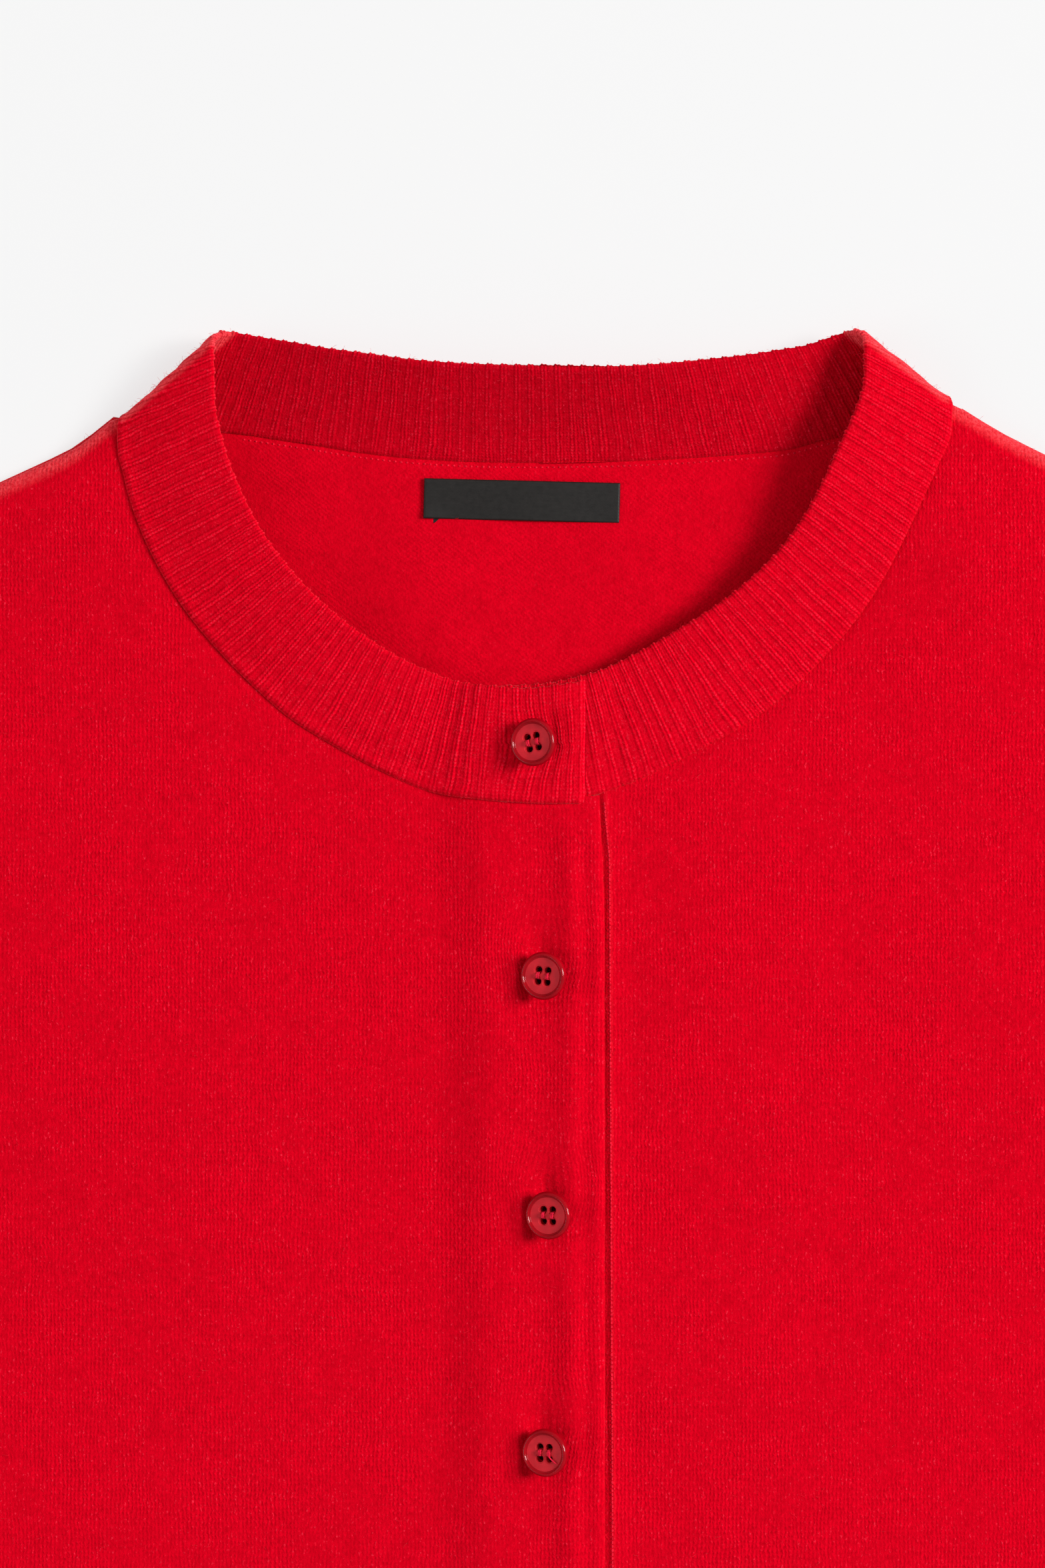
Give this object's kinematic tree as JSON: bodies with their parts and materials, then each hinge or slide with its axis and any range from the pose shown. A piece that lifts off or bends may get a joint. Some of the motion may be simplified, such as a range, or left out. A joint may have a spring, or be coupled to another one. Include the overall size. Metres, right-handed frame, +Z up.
{
  "type": "button cardigan",
  "caption": "Fine-knit crew-neck button cardigan laid flat and buttoned up, with ribbed neckband, cuffs and hem.",
  "frame": {"origin": "on the surface the garment lies on, under the middle of its bounding box", "axes": "+Z up, out of the surface and the garment's front; +Y up the garment towards the neck; +X towards the wearer's left sleeve"},
  "size_m": [1.0616, 0.5216, 0.0148],
  "materials": {
    "knit": "red fine-gauge plain knit of soft brushed yarn with paler flecks",
    "rib": "red ribbed knit of the same yarn, linked on",
    "button": "dark red turned plastic, glossy rim round a matte face",
    "label": "black woven satin tape, bare"
  },
  "bodies": {
    "root": {"back": "knit", "front_right": "knit", "front_left": "knit", "neckband": "rib", "sleeve_right": "knit", "sleeve_left": "knit", "cuff_right": "rib", "cuff_left": "rib", "hem_right": "rib", "hem_left": "rib", "hem_back": "rib", "neck_label": "label", "button_1": "button", "button_2": "button", "button_3": "button", "button_4": "button", "button_5": "button", "button_6": "button", "button_7": "button", "button_8": "button"}
  },
  "joints": []
}
